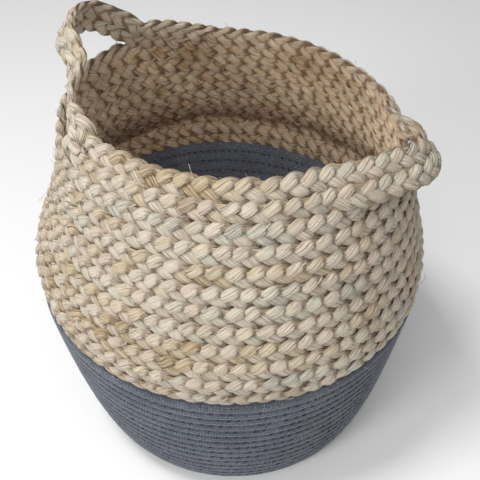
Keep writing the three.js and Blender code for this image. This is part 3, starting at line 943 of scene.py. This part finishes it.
ropeStitches = {"name": "rope_stitches", "slot": "cotton_rope", "spacing": 7.4, "length": 4.2,
                "thread": 0.55, "arch": 0.6, "depth": 3.0, "slant": 0.5, "share": 0.8,
                "turns": (0.6, ropeTurns - 1.02)}
plaitStitches = {"name": "plait_stitches", "slot": "husk_plait", "spacing": 31.0, "length": 5.5,
                 "thread": 0.4, "arch": 0.9, "depth": 3.9, "slant": 0.9, "share": 0.5,
                 "turns": (0.3, plait["wallRows"] + 0.2)}
stitchStray = {"turn": 0.25, "along": 0.8, "sizes": (0.85, 1.1), "seed": 21}


def stitchPiece(look, material, edges, firstAngle):
    # stitches on both faces of the wall, in the groove between two rows
    name = look["name"]
    rng = np.random.default_rng(stitchStray["seed"] + len(name))
    turns = turnsFrom(*look["turns"])
    angle = firstAngle + 2 * math.pi * turns
    s = edges(turns)[1]
    groove = wallPoint(s, angle)
    across = unit(wallPoint(s + 2, angle) - wallPoint(s - 2, angle))
    _, _, (groove, across) = evenly(groove, [groove, across], look["spacing"])
    along, across, out = frameOf(groove, across)
    lines = []
    for side in (1, -1):
        chosen = rng.uniform(0, 1, len(groove)) < look["share"]
        turn = look["slant"] + stitchStray["turn"] * rng.uniform(-1, 1, len(groove))
        way = across * np.cos(turn)[:, None] + along * np.sin(turn)[:, None]
        shift = rng.uniform(-stitchStray["along"], stitchStray["along"], len(groove))
        at = groove + out * (side * look["depth"]) + along * shift[:, None]
        lines.append({"at": at[chosen], "lay": (out * side)[chosen], "way": way[chosen],
                      "size": rng.uniform(*stitchStray["sizes"], len(groove))[chosen]})
    piece = grown(name, lineMesh(name, lines), stitches, {
        "Length": look["length"] / 1000, "Thread": look["thread"] / 1000,
        "Arch": look["arch"] / 1000, "Material": material})
    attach(piece, "basket")
    print(f"{name}: {sum(len(line['at']) for line in lines)} stitches")


stitchPiece(ropeStitches, ropeThread, ropeEdges, ropeAngle)
stitchPiece(plaitStitches, plaitThread, plaitEdges, join)

stageLook = {"floor": 0.93, "floorSize": 4, "backdrop": 1.0, "ambient": 0.42}


def floorPlane():
    far = stageLook["floorSize"]
    mesh = bpy.data.meshes.new("floor")
    mesh.from_pydata([(-far, -far, 0), (far, -far, 0), (far, far, 0), (-far, far, 0)], [], [(0, 1, 2, 3)])
    s = Shader("paleFloor")
    s.surface.inputs["Base Color"].default_value = (stageLook["floor"],) * 3 + (1,)
    s.surface.inputs["Roughness"].default_value = 0.9
    mesh.materials.append(s.material)
    floor = bpy.data.objects.new("floor", mesh)
    scene.collection.objects.link(floor)


floorPlane()
world = bpy.data.worlds.new("studio")
scene.world = world
world.use_nodes = True
worldNodes, worldLink = world.node_tree.nodes, world.node_tree.links.new
ambient = worldNodes["Background"]
ambient.inputs["Color"].default_value = (1, 1, 1, 1)
ambient.inputs["Strength"].default_value = stageLook["ambient"]
seen = worldNodes.new("ShaderNodeBackground")
seen.inputs["Strength"].default_value = stageLook["backdrop"]
seen.inputs["Color"].default_value = (1, 1, 1, 1)
rays = worldNodes.new("ShaderNodeLightPath")
blendWorld = worldNodes.new("ShaderNodeMixShader")
worldLink(rays.outputs["Is Camera Ray"], blendWorld.inputs["Fac"])
worldLink(ambient.outputs[0], blendWorld.inputs[1])
worldLink(seen.outputs[0], blendWorld.inputs[2])
worldLink(blendWorld.outputs[0], worldNodes["World Output"].inputs["Surface"])

lamps = {"key": ((-0.85, -1.05, 0.9), 0.4, 8.5), "front": ((-0.2, -1.0, 1.2), 0.4, 3.5),
         "top": ((-0.55, -0.25, 1.7), 0.35, 14.0)}   # place, size and power
aim = Vector((0, 0, 0.17))   # the belly
for lampName, (place, size, power) in lamps.items():
    light = bpy.data.lights.new(lampName, "AREA")
    light.energy, light.size = power, size
    lamp = bpy.data.objects.new(lampName, light)
    lamp.location = place
    lamp.rotation_euler = (aim - Vector(place)).to_track_quat("-Z", "Y").to_euler()
    scene.collection.objects.link(lamp)
insideFill = {"place": (0.05, -0.055, 0.22), "radius": 0.02, "power": 0.46}
glow = bpy.data.lights.new("insideFill", "POINT")   # light that the rows inside pass on
glow.energy, glow.shadow_soft_size = insideFill["power"], insideFill["radius"]
inside = bpy.data.objects.new("insideFill", glow)
inside.location = insideFill["place"]
inside.visible_camera = False
scene.collection.objects.link(inside)

view = {"place": (0.0038, -0.51477, 0.6062), "elevation": 42.125, "roll": 0.665,
        "lens": 56.49, "shift": (0.01227, 0.0422)}
tilt, roll = math.radians(view["elevation"]), math.radians(view["roll"])
rightWay = Vector((1, 0, 0))
upWay = Vector((0, math.sin(tilt), math.cos(tilt)))
backWay = Vector((0, -math.cos(tilt), math.sin(tilt)))
rolledRight = rightWay * math.cos(roll) + upWay * math.sin(roll)
rolledUp = upWay * math.cos(roll) - rightWay * math.sin(roll)
cameraData = bpy.data.cameras.new("camera")
cameraData.lens, cameraData.sensor_width = view["lens"], 36
cameraData.shift_x, cameraData.shift_y = view["shift"]
cameraData.clip_start, cameraData.clip_end = 0.01, 20
camera = bpy.data.objects.new("camera", cameraData)
turn = Matrix((rolledRight, rolledUp, backWay)).transposed().to_4x4()
camera.matrix_world = Matrix.Translation(view["place"]) @ turn
scene.collection.objects.link(camera)
scene.camera = camera
scene.view_settings.view_transform = "Standard"
print("floor, lamps and camera placed")

bpy.context.view_layer.update()
